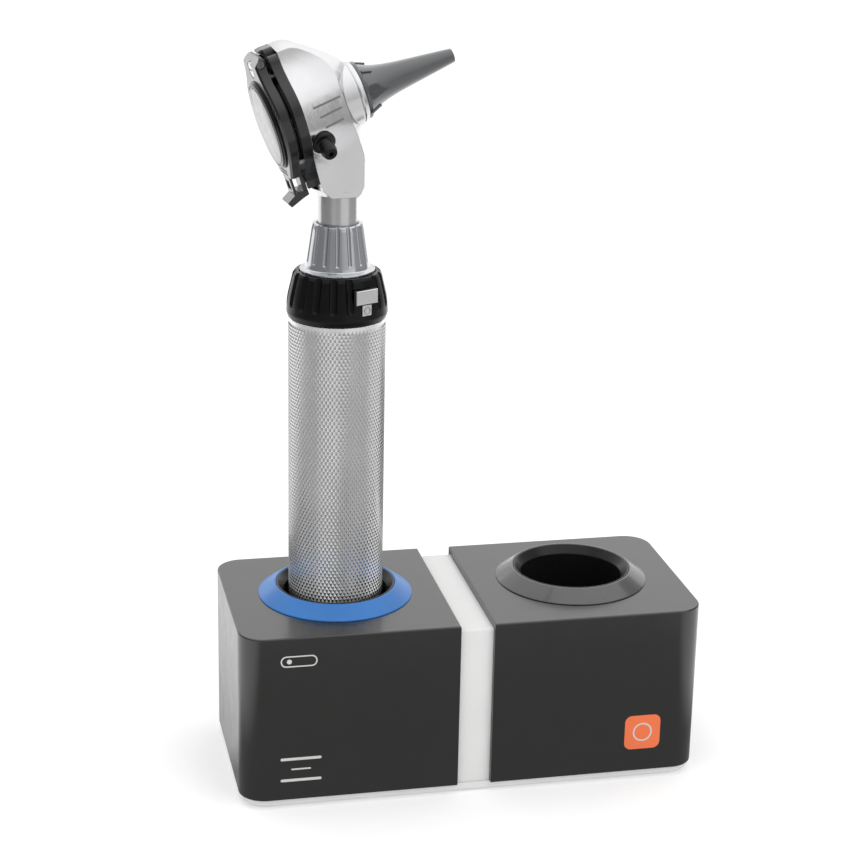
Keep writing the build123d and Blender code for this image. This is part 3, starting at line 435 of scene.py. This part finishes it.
base_marks()
etched_line("etched_upper", (-11.0, 3.7), (-1.9, 3.4))
etched_line("etched_middle", (-9.8, 0.4), (-2.4, 0.4))
etched_line("etched_lower", (-9.0, -3.0), (-2.9, -2.9))


# ---- Floor, light and camera ---------------------------------------------------------------------
CAMERA_AT = Vector((-143.09, -599.22, 313.54)) * MM
CAMERA_YAW, CAMERA_PITCH, CAMERA_ROLL = (math.radians(a) for a in (12.467, 18.441, 1.16))
CAMERA_LENS = 90.21
ROOM_SLOPE = (0.50, 0.35, 1.20)
ROOM_DIM = 0.22
ROOM_BRIGHT = 1.5
ROOM_PLAIN = 1.0
ROOM_SPAN = (-0.7, 1.2)
FLOOR_GLOW = 0.24
SHEEN_NEAR = 0.36
SHEEN_FRONT = 0.86
SHEEN_BACK = 1.35
SHEEN_EDGE = 0.035
SHEEN_PATCHES = [(-0.005, -0.09, 0.105, 0.085), (0.003, 0.12, 0.060, 0.14)]
FLAG_SIDE = 0.50
FLAG_FRONT = -0.62
FLAG_TOP = 0.45


def off_patch(look, x, y, across, along, half_width, half_length):
    """How far a floor point lies outside a rectangle centred on (across, along)."""
    beside = look.math("ABSOLUTE", look.math("SUBTRACT", x, across))
    beyond = look.math("ABSOLUTE", look.math("SUBTRACT", y, along))
    return look.math("MAXIMUM", look.math("SUBTRACT", beside, half_width),
                     look.math("SUBTRACT", beyond, half_length))


def studio():
    """White floor, wide enough that its edge is out of sight. Polished faces see it dimmer in front."""
    look = Look("studio_floor")
    look.set(Roughness=0.7, Specular_IOR_Level=0.2)
    look.set(Emission_Color=(1, 1, 1, 1), Emission_Strength=FLOOR_GLOW)
    cloud = look.ranged(look.noise(60, 4), 0.35, 0.65, 0, 1)
    look.link(look.mixed(cloud, (0.82, 0.82, 0.82), (0.81, 0.81, 0.81)), look.bsdf.inputs["Base Color"])
    split = look.node("ShaderNodeSeparateXYZ")
    look.link(look.coord, split.inputs[0])
    x, y = split.outputs["X"], split.outputs["Y"]
    outside = look.math("MINIMUM", *(off_patch(look, x, y, *patch) for patch in SHEEN_PATCHES))
    far = look.ranged(y, -0.2, 0.1, SHEEN_FRONT, SHEEN_BACK)
    share = look.ranged(outside, 0.0, SHEEN_EDGE, 0, 1)
    gain = look.math("MULTIPLY", share, look.math("SUBTRACT", far, SHEEN_NEAR))
    sheen = look.node("ShaderNodeEmission")
    look.link(look.math("ADD", gain, SHEEN_NEAR), sheen.inputs["Strength"])
    pick = look.node("ShaderNodeMixShader")
    look.link(look.node("ShaderNodeLightPath").outputs["Is Glossy Ray"], pick.inputs[0])
    look.link(look.bsdf.outputs[0], pick.inputs[1])
    look.link(sheen.outputs[0], pick.inputs[2])
    look.link(pick.outputs[0], look.tree.nodes["Material Output"].inputs["Surface"])
    corners = [(-6, -4, 0), (6, -4, 0), (6, 9, 0), (-6, 9, 0)]
    piece("studio_floor", corners, [(0, 1, 2, 3)], look.mat)


def flag(name, start, end, low, high, tone):
    """Upright board over the line from start to end, out of the picture, mirrored by polished faces only."""
    corners = [(*start, low), (*end, low), (*end, high), (*start, high)]
    grey = Look(name)
    grey.set(Roughness=1.0, Base_Color=(0, 0, 0, 1), Specular_IOR_Level=0.0)
    shade = grey.ranged(grey.noise(3, 2), 0.3, 0.7, tone * 0.9, tone * 1.1)
    grey.link(shade, grey.bsdf.inputs["Emission Strength"])
    grey.set(Emission_Color=(1, 1, 1, 1))
    made = piece(name, corners, [(0, 1, 2, 3)], grey.mat)
    made.visible_camera = made.visible_diffuse = made.visible_shadow = False
    made.visible_transmission = made.visible_volume_scatter = False


def room():
    """Plain white room that polished faces see brightest above and behind, dimmest left of the camera."""
    world = bpy.data.worlds.new("studio")
    bpy.context.scene.world = world
    world.use_nodes = True
    tree = world.node_tree
    out = tree.nodes["Background"]
    out.inputs["Color"].default_value = (1, 1, 1, 1)
    slope = tree.nodes.new("ShaderNodeVectorMath")
    slope.operation = "DOT_PRODUCT"
    slope.inputs[1].default_value = ROOM_SLOPE
    tree.links.new(tree.nodes.new("ShaderNodeTexCoord").outputs["Generated"], slope.inputs[0])
    shade = tree.nodes.new("ShaderNodeMapRange")
    shade.inputs["From Min"].default_value, shade.inputs["From Max"].default_value = ROOM_SPAN
    shade.inputs["To Min"].default_value, shade.inputs["To Max"].default_value = ROOM_DIM, ROOM_BRIGHT
    tree.links.new(slope.outputs["Value"], shade.inputs["Value"])
    path = tree.nodes.new("ShaderNodeLightPath")
    pick = tree.nodes.new("ShaderNodeMix")
    pick.inputs[2].default_value = ROOM_PLAIN
    tree.links.new(path.outputs["Is Glossy Ray"], pick.inputs[0])
    tree.links.new(shade.outputs[0], pick.inputs[3])
    tree.links.new(pick.outputs[0], out.inputs["Strength"])


def lamp(name, place, aim, size, power, mirrored=True):
    """Square soft lamp; one that is not mirrored lights the paint but leaves no hot spot on metal."""
    light = bpy.data.lights.new(name, "AREA")
    light.size = size
    light.energy = power
    made = bpy.data.objects.new(name, light)
    made.location = place
    made.rotation_euler = (Vector(aim) - Vector(place)).to_track_quat("-Z", "Y").to_euler()
    made.visible_glossy = mirrored
    bpy.context.scene.collection.objects.link(made)


def camera():
    yaw, pitch, roll = CAMERA_YAW, CAMERA_PITCH, CAMERA_ROLL
    ahead = Vector((math.sin(yaw) * math.cos(pitch), math.cos(yaw) * math.cos(pitch), -math.sin(pitch)))
    right = Vector((math.cos(yaw), -math.sin(yaw), 0))
    up = right.cross(ahead)
    across = math.cos(roll) * right + math.sin(roll) * up
    above = math.cos(roll) * up - math.sin(roll) * right
    data = bpy.data.cameras.new("camera")
    data.lens, data.sensor_width = CAMERA_LENS, 36.0
    data.clip_start = 0.01
    made = bpy.data.objects.new("camera", data)
    turn = Matrix((across, above, -ahead)).transposed().to_4x4()
    made.matrix_world = Matrix.Translation(CAMERA_AT) @ turn
    bpy.context.scene.collection.objects.link(made)
    bpy.context.scene.camera = made


studio()
room()
flag("left_flag", (-FLAG_SIDE, FLAG_FRONT), (-FLAG_SIDE, 0.30), 0.0, FLAG_TOP, 0.30)
flag("front_flag", (-FLAG_SIDE, FLAG_FRONT), (0.05, FLAG_FRONT), 0.0, FLAG_TOP, 0.40)
flag("right_flag", (FLAG_SIDE, -0.35), (FLAG_SIDE, 0.35), 0.0, 0.50, 0.40)
flag("back_card", (-0.52, 0.84), (-0.24, 0.84), 0.24, 0.44, 2.0)
lamp("key", (0.55, -0.70, 0.80), (-0.02, 0, 0.10), 0.7, 1.8, mirrored=False)
lamp("side", (-0.80, -0.30, 0.50), (0, 0, 0.10), 0.6, 0.3)
lamp("top", (-0.10, -0.05, 1.15), (0, 0, 0.1), 0.5, 1.7, mirrored=False)
camera()
bpy.context.scene.view_settings.view_transform = "Standard"
